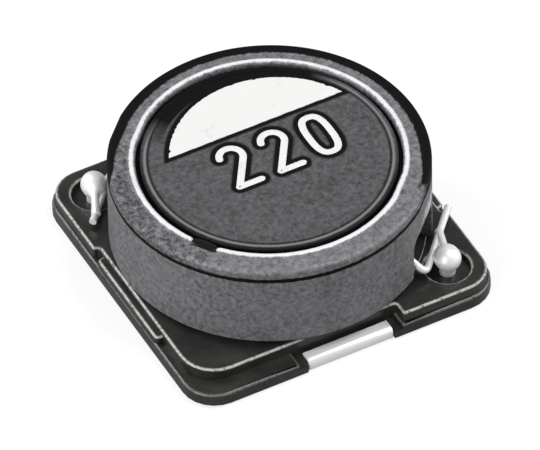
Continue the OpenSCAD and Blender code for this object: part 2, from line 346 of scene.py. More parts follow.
# %% [markdown]
# ## The shield ring
# The ring is pressed and fired, so it is a turned shape with two tunnels at its foot that
# let the leads out. One grid makes all of it: a closed half section is carried round the
# axis, and where a tunnel is, the section's foot is lifted along the tunnel's outline.


# %% Curves in a plane
def arc(centre, radius, start, end, count):
    """Points at centre + radius * (cos, sin) of angles spaced evenly from start to end."""
    a = np.radians(np.linspace(start, end, count))
    return np.stack([centre[0] + radius * np.cos(a), centre[1] + radius * np.sin(a)], 1)


def line(start, end, count):
    """Points spaced evenly from start to end."""
    return np.linspace(start, end, count)


def chain(*runs):
    """Runs joined end to end, without the points that repeat."""
    points = np.vstack(runs)
    far = np.linalg.norm(points - np.roll(points, 1, 0), axis=1) > 1e-5
    return points[far]


# %% The ring's half section and its tunnels
LIP_R, LIP_H = 0.15, 0.05         # the bead round the mouth
SHOULDER_R = 0.16
SEAM_DROP, SEAM_R = 0.47, 0.05    # the pressing line below the top
FOOT_C = 0.12
TUNNEL_W, TUNNEL_H, TUNNEL_R = 2.3, 1.85, 0.5
TUNNEL_AT = -45                   # direction of the first tunnel; the other is opposite
CHIP_AT, CHIP_DEPTH = -146, 0.07  # the bead's one flaw
FRONT, LEFT, BACK_SHADE_AT = -108, 178, 58   # middles of the bead's painted highlight, the painted shade on the left top, and the painted shade at the back
BACK_SHADE_TURNS = [60, 85, 100, 112]   # degrees from the middle of the painted shade at the back, and where it starts there
BACK_SHADE_RADII = [5.36, 5.42, 5.6, RING_R + 0.15]
STREAK_STRENGTH, LEFT_SHADE = 0.68, 0.43            # strength of the painted reflection over a tunnel, and of the painted shade on the left top


def ring_section():
    """Closed outline (r, z): up the bore, round the bead, over the shoulder, down past the
    pressing line, and back along the foot."""
    shoulder = RING_TOP - LIP_H
    meet = math.degrees(math.asin((LIP_R - LIP_H) / LIP_R))
    seam = RING_TOP - SEAM_DROP
    return chain(
        line((BORE_R, SEAT_Z + FOOT_C), (BORE_R, RING_TOP - LIP_R), 12),
        arc((BORE_R + LIP_R, RING_TOP - LIP_R), LIP_R, 180, meet, 14),
        line((BORE_R + LIP_R * (1 + math.cos(math.radians(meet))), shoulder),
             (RING_R - SHOULDER_R, shoulder), 14),
        arc((RING_R - SHOULDER_R, shoulder - SHOULDER_R), SHOULDER_R, 90, 0, 8),
        line((RING_R, shoulder - SHOULDER_R), (RING_R, seam + SEAM_R), 6),
        arc((RING_R, seam), SEAM_R, 90, 270, 9),
        line((RING_R, seam - SEAM_R), (RING_R, seam - 0.15), 5),
        line((RING_R, seam - 0.15), (RING_R, SEAT_Z + FOOT_C), 22),
        line((RING_R - FOOT_C, SEAT_Z), (BORE_R + FOOT_C, SEAT_Z), 6))


def tunnel_path():
    """Half a turn of (direction, lift): level outside the tunnel, and inside it up one
    wall, round the corner, across and down the other."""
    half, draft = TUNNEL_W / 2, 0.03
    outline = chain(
        line((-half, 0), (-half + draft, TUNNEL_H - TUNNEL_R), 10),
        arc((-half + draft + TUNNEL_R, TUNNEL_H - TUNNEL_R), TUNNEL_R, 180, 90, 9),
        arc((half - draft - TUNNEL_R, TUNNEL_H - TUNNEL_R), TUNNEL_R, 90, 0, 9),
        line((half - draft, TUNNEL_H - TUNNEL_R), (half, 0), 10))
    direction = np.degrees(np.arcsin(outline[:, 0] / RING_R))
    edge = direction[-1]
    left = line((-90, 0), (-edge - 0.6, 0), 70)
    right = line((edge + 0.6, 0), (90, 0), 70)
    inside = np.stack([direction, outline[:, 1]], 1)
    return np.vstack([left, inside, right[:-1]])


def ring_points():
    """Points rows x columns x 3. A point of the section at radius r lies where the tunnel's
    flat walls cross that radius, and its height is squeezed above the lifted foot."""
    section, path = ring_section(), tunnel_path()
    r, z = section[:, 0], section[:, 1] - SEAT_Z
    direction, lift = path.T[..., None]
    across = RING_R * np.sin(np.radians(direction))
    flat_wall = np.degrees(np.arcsin(np.clip(across / r, -1, 1)))
    near = np.clip((30 - np.abs(direction)) / 15, 0, 1)
    turn = direction + near * (flat_wall - direction)
    split_z = TUNNEL_H + 0.35
    squeezed = lift + FOOT_C + (z - FOOT_C) * (split_z - lift - FOOT_C) / (split_z - FOOT_C)
    height = np.where(z <= FOOT_C + 1e-6, z + lift, np.where(z < split_z, squeezed, z))
    angle = np.radians(TUNNEL_AT + turn)
    half = np.stack([r * np.cos(angle), r * np.sin(angle), SEAT_Z + height], -1)
    return np.concatenate([half, half * [-1, -1, 1]])


# %% Make the ring
def soft_band(value, centre, half_width, fade):
    """1 within half_width of the centre, and down to 0 over the fade outside it."""
    return np.clip(1 - (np.abs(value - centre) - half_width) / fade, 0, 1)


def cylindrical(xyz):
    """Distance from Z, height, and direction in degrees of each point."""
    x, y, z = xyz.T
    return np.hypot(x, y), z, np.degrees(np.arctan2(y, x))


def turn_from(way, middle):
    """Degrees between each direction and a middle one, 0 to 180."""
    return np.abs((way - middle + 180) % 360 - 180)


def write_attribute(mesh, name, values):
    """One number for each point, which a finish can read by its name."""
    mesh.attributes.new(name, "FLOAT", "POINT").data.foreach_set(
        "value", values.astype(np.float32))


ring_shape = grid(ring_points(), loop_rows=True, loop_columns=True)
ring_xyz = ring_shape[0]
ring_r, ring_z, ring_way = cylindrical(ring_xyz)
on_top = (ring_z > RING_TOP - LIP_R) & (ring_r < RING_R - 0.02)
on_wall = ring_r > RING_R - 0.08
bead_r = BORE_R + LIP_R
chip = soft_band(ring_way, CHIP_AT, 5, 2)
# painted highlight along the bead: full at the front, a little weaker away from it, none at the
# chip
bead = soft_band(ring_r, bead_r, 0.04, 0.1) * on_top * (1 - chip)
bead = bead * np.interp(turn_from(ring_way, FRONT), [40, 90], [1, 0.82])
# painted reflection: a bright streak on the wall above each tunnel
tunnel_reflection = STREAK_STRENGTH * (soft_band(ring_way - TUNNEL_AT, 5, 4, 11)
                     * soft_band(ring_z, SEAT_Z + TUNNEL_H + 0.38, 0.12, 0.45) * on_wall)
# painted shade on the shoulder's outer part, reaching furthest inwards at the back
back_shade_from = np.interp(turn_from(ring_way, BACK_SHADE_AT), BACK_SHADE_TURNS, BACK_SHADE_RADII)
shoulder_shade = np.clip((ring_r - back_shade_from) / 0.12, 0, 1)
# painted shade on the shoulder's top at the left
left_shade = LEFT_SHADE * soft_band(turn_from(ring_way, LEFT), 0, 30, 30) * (ring_r > bead_r + 0.16)
shoulder_shade = np.maximum(shoulder_shade, left_shade)
shoulder_shade = shoulder_shade * np.clip((ring_z - RING_TOP + SEAM_DROP) / 0.05, 0, 1)
# painted shade in the pressing line's crease
seam_shade = soft_band(ring_z, RING_TOP - SEAM_DROP, 0.06, 0.07) * on_wall
ring_xyz[:, 2] -= CHIP_DEPTH * chip * soft_band(ring_r, bead_r, LIP_R, 0.02) * on_top
ring_mesh = make_mesh("ring", ring_shape)
write_attribute(ring_mesh, "painted_highlight", np.maximum(bead, tunnel_reflection))
write_attribute(ring_mesh, "painted_shade", np.maximum(seam_shade, shoulder_shade))
place("ring", ring_mesh, ring_skin, "ring_ferrite", "shield_ring")

# %% [markdown]
# ## The printed mark
# White ink marks the side where the winding starts, with a segment of a disc, and beside it
# stands a plain three-figure value. The figures are strokes of one width with round ends,
# as a dot or a plotting nozzle leaves them. Their centre lines are worked out first,
# because the ferrite darkens where the ink's binder bleeds out beside them.


# %% Centre lines of the figures
FIGURE_W, FIGURE_H, STROKE_W = 0.88, 1.95, 0.29
FIGURES_AT = [(-1.2, 0.15), (0.5, 0.15), (2.17, 0.15)]
MARK_R, MARK_CHORD = mark_high[1], mark_low[1]
MARK_X = (mark_low[0] + mark_high[0]) / 2


def figure_two():
    """A bowl that turns from the left over the top to the right, then a slanted stem that
    runs down to the left, and a straight foot."""
    w, h = FIGURE_W / 2, FIGURE_H / 2
    bowl = arc((0, h - w), w, 170, -28, 22)
    stem = line(bowl[-1], (-w, -h), 12)
    return [np.vstack([bowl, stem[1:]]), line((-w, -h), (w, -h), 8)]


def figure_nought():
    """A tall rounded box: x and y follow cos and sin, each raised to a power below 1."""
    a = np.linspace(0, 2 * np.pi, 49)
    bend = lambda v: np.sign(v) * np.abs(v) ** 0.72
    return [np.stack([FIGURE_W / 2 * bend(np.cos(a)), FIGURE_H / 2 * bend(np.sin(a))], 1)]


figures = figure_two(), figure_two(), figure_nought()
strokes = [stroke + np.array(middle)
           for middle, figure in zip(FIGURES_AT, figures) for stroke in figure]
print(f"{len(strokes)} strokes, {STROKE_W} mm wide")


# %% Distance from the ink
def to_strokes(xy):
    """Distance of each point from the nearest piece of any centre line, less half a stroke."""
    best = np.full(len(xy), 1e9)
    for stroke in strokes:
        a, b = stroke[:-1], stroke[1:]
        run = b - a
        t = np.einsum("nij,ij->ni", xy[:, None] - a, run) / (run ** 2).sum(1)
        near = a + np.clip(t, 0, 1)[..., None] * run
        best = np.minimum(best, np.linalg.norm(xy[:, None] - near, axis=2).min(1))
    return best - STROKE_W / 2


def to_segment(xy):
    """How far a point lies outside the disc or below the chord, whichever is more."""
    return np.maximum(np.hypot(xy[:, 0] - MARK_X, xy[:, 1]) - MARK_R, MARK_CHORD - xy[:, 1])


# %% [markdown]
# ## The drum
# The drum is one turned shape with a post between two flanges. Only its top shows, with a
# fine line round the ground face. The mesh is fine enough there to carry the distance from
# the ink, which the finish reads.


# %% Make the drum
POST_R, LOW_FLANGE, TOP_FLANGE = 2.6, 0.8, 0.83
FACE_R, FACE_LINE, CORE_C = 4.42, 0.04, 0.08
RIM_SHADE_AT, BACK_SHADOW_AT = -120, 84      # where the painted shade on the rim is darkest; middle of the painted shadow at the back


def drum_section():
    """Half outline (r, z) from the axis over the top, down past the post, to the axis."""
    coil_top, coil_foot = CORE_TOP - TOP_FLANGE, CORE_FOOT + LOW_FLANGE
    return chain(
        line((0.05, CORE_TOP), (FACE_R - FACE_LINE, CORE_TOP), 80),
        arc((FACE_R, CORE_TOP), FACE_LINE, 180, 360, 7),
        line((FACE_R + FACE_LINE, CORE_TOP), (CORE_R - CORE_C, CORE_TOP), 8),
        arc((CORE_R - CORE_C, CORE_TOP - CORE_C), CORE_C, 90, 0, 6),
        line((CORE_R, CORE_TOP - CORE_C), (CORE_R, coil_top), 6),
        line((CORE_R, coil_top), (POST_R, coil_top), 5),
        line((POST_R, coil_top), (POST_R, coil_foot), 5),
        line((POST_R, coil_foot), (CORE_R, coil_foot), 5),
        line((CORE_R, coil_foot), (CORE_R, CORE_FOOT + CORE_C), 4),
        line((CORE_R - CORE_C, CORE_FOOT), (0.05, CORE_FOOT), 5))


def spin(section, count):
    """The points (r, z) of an outline carried round Z in even steps."""
    a = np.linspace(0, 2 * np.pi, count, endpoint=False)[:, None]
    r, z = section[:, 0], section[:, 1]
    return np.stack([r * np.cos(a), r * np.sin(a), z + 0 * a], -1)


def revolve(section, count):
    """The solid of an outline that runs from near Z back to near Z, closed by the grid's
    fans. Its rows are circles, so the points' first two axes change places."""
    return grid(spin(section, count).transpose(1, 0, 2), loop_columns=True)


drum_shape = revolve(drum_section(), 480)
drum_mesh = make_mesh("drum", drum_shape)
xy = drum_shape[0][:, :2]
outside = np.minimum(to_strokes(xy), to_segment(xy))
drum_r, drum_z, drum_way = cylindrical(drum_shape[0])
on_face = drum_z > CORE_TOP - 0.06
halo = np.clip(1.9 - outside / 0.13, 0, 1) * on_face
# painted shade in the fine line round the ground face
line_shade = soft_band(drum_r, FACE_R, 0.03, 0.05) * on_face
# painted shade on the rim outside the ground face, darkest at the front
rim_shade_depth = np.interp(turn_from(drum_way, RIM_SHADE_AT), [75, 110], [0.7, 0.25])
rim_shade = rim_shade_depth * np.clip((drum_r - FACE_R - 0.15) / 0.05, 0, 1)
# painted shadow on the rim at the back, outside the segment
back_shadow = (soft_band(drum_way, BACK_SHADOW_AT, 38, 26)
             * np.clip((drum_r - MARK_R - 0.02) / 0.06, 0, 1) * (drum_z > CORE_TOP - 0.2))
# the stain beside the ink and the painted shade, in one mask
bleed_and_shade = np.max([halo, 0.55 * line_shade, rim_shade, 0.85 * back_shadow], axis=0)
write_attribute(drum_mesh, "bleed_and_shade", bleed_and_shade)
write_attribute(drum_mesh, "rim", soft_band(drum_r, FACE_R + 0.09, 0.03, 0.04) * on_face)
place("drum", drum_mesh, core_skin, "core_ferrite", "drum_core")
print(f"drum: {int((halo > 0.5).sum())} of {len(halo)} points lie under or beside ink")

# %% [markdown]
# ## Adhesives
# Dark epoxy fills the mouth between the drum and the ring. It sinks as it cures, so its
# surface is a hollow that climbs both walls. At one place a drop of it went over the bead.
# A thin pale layer under the drum can't be seen.


# %% Make the adhesives
def meniscus_section():
    """Closed outline (r, z): a hollow top, z = middle + climb * (2x - 1)^2 over the gap."""
    x, climb = np.linspace(0, 1, 9), 0.1
    z = gap_high[2] - climb + climb * (2 * x - 1) ** 2
    top = np.stack([CORE_R + x * (BORE_R - CORE_R), z], 1)
    return np.vstack([top, [(BORE_R, gap_low[2]), (CORE_R, gap_low[2])]])


def turn_ring(section, count):
    """A closed outline carried round Z."""
    return grid(spin(section, count), loop_rows=True, loop_columns=True)


def drop(way, r, z, reach, width, height):
    """A flat drop on the bead, the upper part of an ellipsoid. With the lift u and the turn
    a: along = reach cos u cos a, across = width cos u sin a, up = height sin u."""
    lift = np.radians(np.linspace(-25, 86, 12))[:, None]
    a = np.linspace(0, 2 * np.pi, 36, endpoint=False)
    along, across = reach * np.cos(lift) * np.cos(a), width * np.cos(lift) * np.sin(a)
    turn = math.radians(way)
    out = r + across
    return grid(np.stack([out * math.cos(turn) - along * math.sin(turn),
                          out * math.sin(turn) + along * math.cos(turn),
                          z + height * np.sin(lift) + 0 * a], -1), loop_columns=True)


gap_mesh = make_mesh("mouth_epoxy", merge(
    turn_ring(meniscus_section(), 240),
    drop(CHIP_AT, r=bead_r - 0.02, z=RING_TOP - 0.1, reach=0.6, width=0.24, height=0.095)))


# %% [markdown]
# ## The moulded base
# The base is a stack of levels: a low flange, corner blocks, a round seat, two ledges, and
# recesses for the terminals. Each level is a plate whose outline is a polygon with rounded
# corners, and whose upper edge is rounded over. The outline's points are moved inwards by
# e * (1 - cos) while they rise by e * sin, which draws a quarter circle all the way round.


# %% Outlines and plates
def outline(corners, steps=7):
    """A closed polygon (x, y, radius), material on its left, with each corner as an arc."""
    xy = np.array([c[:2] for c in corners], float)
    runs = []
    for before, corner, after, radius in zip(np.roll(xy, 1, 0), xy, np.roll(xy, -1, 0),
                                             [c[2] for c in corners]):
        u, v = unit(corner - before), unit(after - corner)
        cross = u[0] * v[1] - u[1] * v[0]
        turn = math.atan2(cross, u @ v)
        side = math.copysign(1, turn)
        start = corner - u * radius * math.tan(abs(turn) / 2)
        centre = start + side * radius * np.array([-u[1], u[0]])
        first = math.degrees(math.atan2(*(start - centre)[::-1]))
        runs.append(arc(centre, radius, first, first + math.degrees(turn), steps))
    return np.vstack(runs)


def outward(points):
    """Unit normals of a closed outline that point away from its material: the direction
    from the point before to the point after, turned a quarter to the right."""
    along = np.roll(points, -1, 0) - np.roll(points, 1, 0)
    return unit(along[:, ::-1] * [1, -1])


def cap(loops, height, up):
    """(points, faces) that fill the loops flat, with holes where a loop turns the other way."""
    flat = np.vstack([np.column_stack([p, np.full(len(p), height)]) for p in loops])
    triangles = np.array(tessellate_polygon([[Vector((*q, 0)) for q in p] for p in loops]))
    a, b, c = (flat[triangles[:, n], :2] for n in range(3))
    area = (b[:, 0] - a[:, 0]) * (c[:, 1] - a[:, 1]) - (b[:, 1] - a[:, 1]) * (c[:, 0] - a[:, 0])
    wrong = (area > 0) != up
    triangles[wrong] = triangles[wrong][:, ::-1]
    return flat, triangles[np.abs(area) > 1e-9].tolist()


def plate(loops, foot, top, edge, steps=6):
    """(points, faces) of a plate between two heights with its upper edges rounded over."""
    a = np.linspace(0, np.pi / 2, steps)
    inset = np.concatenate([[0], edge * (1 - np.cos(a))])
    height = np.concatenate([[foot], top - edge + edge * np.sin(a)])
    shapes = []
    for loop in loops:
        rows = loop[None] - outward(loop)[None] * inset[:, None, None]
        z = np.broadcast_to(height[:, None, None], rows.shape[:2] + (1,))
        shapes.append(grid(np.concatenate([rows, z], 2), loop_columns=True, caps=False))
    shapes.append(cap(loops, foot, up=False))
    shapes.append(cap([p - outward(p) * edge for p in loops], top, up=True))
    return join(*shapes)


def weld(mesh, sharp):
    """Points of a mesh that lie together are made one. Gives the volume in cubic millimetres
    and the number of edges that don't have just two faces."""
    work = bmesh.new()
    work.from_mesh(mesh)
    bmesh.ops.remove_doubles(work, verts=work.verts, dist=1e-4 * MM)
    found = work.calc_volume() / MM ** 3, sum(not edge.is_manifold for edge in work.edges)
    work.to_mesh(mesh)
    work.free()
    shade(mesh, sharp)
    return found


def united(name, shapes, sharp):
    """One mesh of closed shapes that overlap, without the faces that end up inside. An exact
    Boolean modifier joins them, and its result is read once."""
    scene = bpy.context.scene.collection
    group = bpy.data.collections.new(name + "_parts")
    scene.children.link(group)
    parts = [bpy.data.objects.new(f"{name}_{i}", make_mesh(f"{name}_{i}", shape))
             for i, shape in enumerate(shapes)]
    for part in parts:
        weld(part.data, sharp)
        (group if part is not parts[0] else scene).objects.link(part)
    union = parts[0].modifiers.new("union", "BOOLEAN")
    union.operation, union.solver = "UNION", "EXACT"
    union.operand_type, union.collection = "COLLECTION", group
    graph = bpy.context.evaluated_depsgraph_get()
    mesh = bpy.data.meshes.new_from_object(parts[0].evaluated_get(graph))
    for old in [part.data for part in parts]:
        bpy.data.meshes.remove(old)            # its object goes with it
    bpy.data.collections.remove(group)
    mesh.name = name
    size, open_edges = weld(mesh, sharp)
    print(f"{name}: {len(shapes)} shapes in one, {size:.2f} mm3, {open_edges} open edges")
    return mesh


# %% The base's levels
EDGE, SQUARE = 0.12, 0.001                   # radius of upper edges, and of hidden ones
CORNER_R, PLAIN_R, HOOK_R, INNER_R = 1.3, 1.4, 1.18, 0.11
BLOCK_X, BLOCK_Y = HALF - 0.35, HALF - 0.75  # plain corner blocks
HOOK_OUT, HOOK_IN = HALF - 0.12, 2.2         # hook corner blocks
OPEN = 2.105                                 # half width of the low step at a terminal
SIDE_Y, PAD_X, PAD_Y = 5.98, 1.765, 3.6      # the terminal's recess and its pad's bed
ARM_LOW, ARM_HIGH, ARM_END = 4.31, 5.19, 4.865
FOLD_FOOT, BED_TOP = 0.4, STRIP_T            # under the strip's fold; over its pad
WELL_R, WELL_FLOOR = 0.85, 0.75
LEDGE_X, LEDGE_W, LEDGE_LONG, LEDGE_SHORT = HALF - 0.05, 0.8, 2.8, 1.85
EJECTOR_R, GATE_R, SEAT_R = 0.6, 0.8, RING_R - 0.2


def both_ends(corners):
    """The corners of one half of an outline, then the same turned by half a turn."""
    return corners + [(-x, -y, r) for x, y, r in corners]


def flange_loop(half_width, recess, pad=False):
    """The flange from above: a square with round corners and a recess to y = -recess in the
    middle of each terminal side, or the beds of the pad and its arm."""
    w = half_width
    bed = [(-w, -PAD_Y, 0.05), (w, -PAD_Y, 0.05), (w, -ARM_LOW, 0.02),
           (ARM_END, -ARM_LOW, 0.05), (ARM_END, -ARM_HIGH, 0.05), (w, -ARM_HIGH, 0.02)]
    plain = [(-w, -recess, 0.02), (w, -recess, 0.02)]
    return outline(both_ends([
        (-HALF, -HALF, CORNER_R), (-w, -HALF, 0.05), *(bed if pad else plain),
        (w, -HALF, 0.05), (HALF, -HALF, CORNER_R)]))


def block_loop():
    """The raised plate: set back at the plain corners, nearly flush at the hook corners."""
    return outline(both_ends([
        (-BLOCK_X, -BLOCK_Y, PLAIN_R), (HOOK_IN, -BLOCK_Y, INNER_R),
        (HOOK_IN, -HOOK_OUT, INNER_R), (HOOK_OUT, -HOOK_OUT, HOOK_R),
        (HOOK_OUT, -HOOK_IN, INNER_R), (BLOCK_X, -HOOK_IN, INNER_R)]))


def round_hole(x, y, radius):
    """A circle whose material is outside it, so it is drawn clockwise."""
    return arc((x, y), radius, 360, 0, 49)[:-1]


def slot_hole(side):
    """The slot that the hook stands up through."""
    x, y = side * HOOK_XY, -side * HOOK_XY
    w, d = 0.115, 0.29
    return outline([(x - w, y - d, 0.03), (x - w, y + d, 0.03), (x + w, y + d, 0.03),
                    (x + w, y - d, 0.03)], steps=4)


def seat_loop():
    """A circle cut straight along the two terminal sides."""
    a = math.degrees(math.asin(BLOCK_Y / SEAT_R))
    right, left = arc((0, 0), SEAT_R, -a, a, 60), arc((0, 0), SEAT_R, 180 - a, 180 + a, 60)
    return np.vstack([right, left])


def ledge_loop(side):
    """A bar along the middle of a side, longer towards the plain corner."""
    x0, x1 = side * (LEDGE_X - LEDGE_W), side * LEDGE_X
    y0, y1 = -side * LEDGE_SHORT, side * LEDGE_LONG
    return outline([(x0, y0, 0.2), (x1, y0, 0.2), (x1, y1, 0.2), (x0, y1, 0.2)])


# %% Make the base
slots = [slot_hole(side) for side in (1, -1)]
wells = [round_hole(side * HOOK_XY, -side * HOOK_XY, WELL_R) for side in (1, -1)]
dimples = [round_hole(side * HOOK_XY, side * HOOK_XY, EJECTOR_R) for side in (1, -1)]
levels = [
    plate([flange_loop(PAD_X, SIDE_Y, pad=True), *dimples, round_hole(0, 0, GATE_R)],
          BASE_FOOT, BED_TOP, SQUARE),
    plate([flange_loop(PAD_X, SIDE_Y), *slots], BED_TOP, FOLD_FOOT, SQUARE),
    plate([flange_loop(OPEN, BLOCK_Y), *slots], FOLD_FOOT, FLANGE_TOP, EDGE),
    plate([block_loop(), *slots], FLANGE_TOP - EDGE, WELL_FLOOR, SQUARE),
    plate([block_loop(), *wells], WELL_FLOOR, BLOCK_TOP, EDGE),
    plate([seat_loop()], BLOCK_TOP - EDGE, SEAT_Z, 0.04),
    *[plate([ledge_loop(side)], FLANGE_TOP - EDGE, LEDGE_TOP, EDGE) for side in (1, -1)]]

# %% [markdown]
# Black glass-filled moulding resin is nearly black with a satin skin. Its glass fibres
# leave a faint cloudiness and a fine unevenness. A pale painted highlight runs along its
# rounded upper edges.


# %% Moulding resin
def moulding_resin():
    """Black resin, with a pale highlight painted along its rounded edges."""
    material, where = new_material("black glass-filled moulding resin")
    cloud, fibre = noise(material, where, 0.9, 3.0), noise(material, where, 0.12, 2.0)
    colour = blend_colours(material, ramp(material, cloud, 0.35, 0.7),
                           "#201f1e", "#302f2d")
    rub = math_node(material, "MULTIPLY", own(material, "edge_highlight"),
                    ramp(material, fibre, 0.25, 0.5))
    # painted highlight: the rounded edges blend to pale grey, broken up by the fibres
    colour = blend_colours(material, rub, colour, "#b4b4b1")
    return coat(material, colour, 0.28, fibre, 0.006, IOR=1.45)


base_mesh = make_mesh("base_moulding", merge(*levels))
weld(base_mesh, 35)
normals, places = np.empty((2, 3 * len(base_mesh.vertices)))
base_mesh.vertex_normals.foreach_get("vector", normals)
base_mesh.vertices.foreach_get("co", places)
tilt, height = normals[2::3], places[2::3] / MM
# the painted highlight lies on rounded edges: full above the flange, a quarter on the flange's
# edge, none lower
rounded = soft_band(tilt, 0.7, 0.2, 0.08)
raised = np.interp(height, [FLANGE_TOP + 0.02, FLANGE_TOP + 0.08], [0.25, 1])
write_attribute(base_mesh, "edge_highlight", rounded * raised * (height > FOLD_FOOT))
place("base_moulding", base_mesh, moulding_resin(), "base_plastic", "base")
print(f"base: {int((rounded > 0.5).sum())} of {len(rounded)} points lie on rounded edges")

# %% [markdown]
# ## Terminals
# Each terminal is one tinned strip: a pad underneath, a wrap round the side that ends in a
# fold on top, and an arm to the corner, where it turns up as the hook. The strip's rounded
# section is carried along its centre line.


# %% Bent strips
TERMINAL_W, ARM_W, HOOK_W = 3.45, 0.8, 0.5
FOLD_TOP, FOLD_END = 0.55, -STRIP_FACE + 0.52
BEND_R, ARM_TOP = 0.145, 0.3      # radius of the strip's centre line; where the hook starts


def rounded_box(width, thickness, radius, steps=3):
    """Outline (a, b) of a flat bar's section with rounded corners."""
    w, t = width / 2, thickness / 2
    return outline([(-w, -t, radius), (w, -t, radius), (w, t, radius), (-w, t, radius)], steps)


def strip(path, across, width):
    """The section carried along a path in one plane: a across the strip, b along the
    path's normal, which is the tangent crossed with the across direction."""
    normal = np.cross(unit(np.gradient(path, axis=0)), across)
    a, b = rounded_box(width, STRIP_T, 0.03).T[..., None]
    return grid(path[:, None] + a * np.array(across) + b * normal[:, None], loop_columns=True)


def wrap_path():
    """Centre line (x, y, z) of the wrap: pad, bend, side, bend and fold."""
    mid, bend = STRIP_T / 2, BEND_R
    y, low, high = -SIDE_Y, mid + bend, FOLD_TOP - mid - bend
    yz = chain(line((-PAD_Y, mid), (y, mid), 8), arc((y, low), bend, 270, 180, 8),
               arc((y, high), bend, 180, 90, 8),
               line((y, high + bend), (FOLD_END, high + bend), 5))
    return np.column_stack([np.zeros(len(yz)), yz])


def hook_side(xz):
    """A line (x, z) set in the plane of the arm and the hook."""
    return np.column_stack([xz[:, 0], np.full(len(xz), -HOOK_XY), xz[:, 1]])


def arm_path():
    """Centre line of the arm: from the pad's edge along X under the base, and a bend."""
    mid, bend = STRIP_T / 2, BEND_R
    x = HOOK_XY - bend
    return hook_side(chain(
        line((TERMINAL_W / 2 - 0.03, mid), (x, mid), 8),
        arc((x, mid + bend), bend, 270, 360, 8),
        line((HOOK_XY, mid + bend), (HOOK_XY, ARM_TOP), 3)))


def hook_path():
    """Centre line of the narrower hook, which goes on straight up from the arm's bend."""
    return hook_side(line((HOOK_XY, ARM_TOP - 0.02), (HOOK_XY, HOOK_TOP), 8))


# %% [markdown]
# Matt tin plating is a near white metal. Drawing and bending leave fine lines along the
# strip, so the roughness varies a little.


# %% Tin plate
def tin(name, colour, metallic, relief):
    """Tin or solder. The pattern is drawn out along X, and the roughness follows it."""
    material, where = new_material(name)
    lines = add(material, "Mapping", {"Vector": where, "Scale": (0.08, 1.0, 1.0)})
    rub = noise(material, lines.outputs[0], 0.05, 3.0)
    rough = ramp(material, rub, 0, 1, 0.36, 0.48)
    return coat(material, colour, rough, rub, relief, Metallic=metallic)


tin_plate = tin("matt tin plate", "#f8f8f6", 0.55, 0.002)
strip_shapes = [strip(wrap_path(), (1, 0, 0), TERMINAL_W),
                strip(arm_path(), (0, 1, 0), ARM_W), strip(hook_path(), (0, 1, 0), HOOK_W)]
for name, node, shapes in (("strip_a", "terminal_a", strip_shapes),
                           ("strip_b", "terminal_b", [turned(s) for s in strip_shapes])):
    place(name, united(name, shapes, 35), tin_plate, "tinned_strip", node)

# %% [markdown]
# ## Winding
# The wire's outer layer is a helix on the drum's post, over a core of the layers inside.
# Each lead leaves through its tunnel, turns down outside the ring and runs straight along
# the corner block, where it is tinned. Its corners are bent with a radius.

# %% Wire
WIRE_R, PITCH, LAYERS = 0.14, 0.3, 5
OUTER_ROW = POST_R + PITCH * LAYERS - WIRE_R
COIL_FOOT = CORE_FOOT + LOW_FLANGE
ROWS = int((CORE_TOP - TOP_FLANGE - COIL_FOOT) / PITCH)
LEAD_Z = COIL_FOOT + 0.32
LEAD_FROM, LEAD_TURN = -58, -53
TAIL_Z, TAIL_NORMAL = 1.35, -42
TAILS = {"a": (6.1, 2.3), "b": (6.32, 1.4)}    # distance from the axis, and how far past it


def polar(radius, angle, z):
    """The point at a radius and a direction in degrees, at a height."""
    a = math.radians(angle)
    return np.array([radius * math.cos(a), radius * math.sin(a), z])


def bent(points, radius, steps=9):
    """A path with its corners rounded: each is a curve that starts and ends a radius before
    and after the corner and leans towards it, (1-t)^2 a + 2t(1-t) corner + t^2 b."""
    points = [np.array(p, float) for p in points]
    t = np.linspace(0, 1, steps)[:, None]
    path = [points[0][None]]
    for before, corner, after in zip(points, points[1:], points[2:]):
        reach = min(radius, *(np.linalg.norm(end - corner) / 2 for end in (before, after)))
        a, b = (corner + unit(end - corner) * reach for end in (before, after))
        path.append((1 - t) ** 2 * a + 2 * t * (1 - t) * corner + t ** 2 * b)
    return np.vstack(path + [points[-1][None]])


def tube(path, radius, sides=14):
    """A round section carried along a path: radius * (cos * side + sin * lift), where side
    and lift are square to the tangent. Lift starts from the most upright choice."""
    tangent = unit(np.gradient(path, axis=0))
    helper = np.where(np.abs(tangent[:, 2:]) > 0.9, [[1.0, 0, 0]], [[0, 0, 1.0]])
    side = unit(np.cross(tangent, helper))
    lift = np.cross(side, tangent)
    a = np.linspace(0, 2 * np.pi, sides, endpoint=False)[None, :, None]
    points = path[:, None] + radius * (np.cos(a) * side[:, None] + np.sin(a) * lift[:, None])
    return grid(points, loop_columns=True)


def coil_path():
    """The outer layer: r is constant, and z rises by one pitch in each turn."""
    a = np.linspace(0, 2 * np.pi * (ROWS - 1), 64 * (ROWS - 1) + 1)
    z = COIL_FOOT + WIRE_R + PITCH * a / (2 * np.pi)
    return np.stack([OUTER_ROW * np.cos(a), OUTER_ROW * np.sin(a), z], 1)


def tail_point(radius, past_foot, z=TAIL_Z):
    """A point of a tinned end, past the foot of the line from the axis square to it."""
    n = math.radians(TAIL_NORMAL)
    return polar(radius, TAIL_NORMAL, z) + past_foot * np.array([-math.sin(n), math.cos(n), 0])


def lead_path(radius, length):
    """From the coil over the flange, down through the ring's tunnel, along the corner."""
    landing = tail_point(radius, -radius * math.tan(math.radians(TAIL_NORMAL - LEAD_TURN)))
    return bent([polar(OUTER_ROW, LEAD_FROM, LEAD_Z), polar(BORE_R, LEAD_TURN, LEAD_Z),
                 landing, tail_point(radius, length)], 0.34)


# %% [markdown]
# Enamelled copper is warm brown. The leads are stripped and tinned outside the ring, so an
# attribute on the mesh goes from 0 on the coil to 1 on the tinned wire.


# %% Enamelled copper and its tinned ends
TINNED_FROM = 5.0                 # distance from the axis


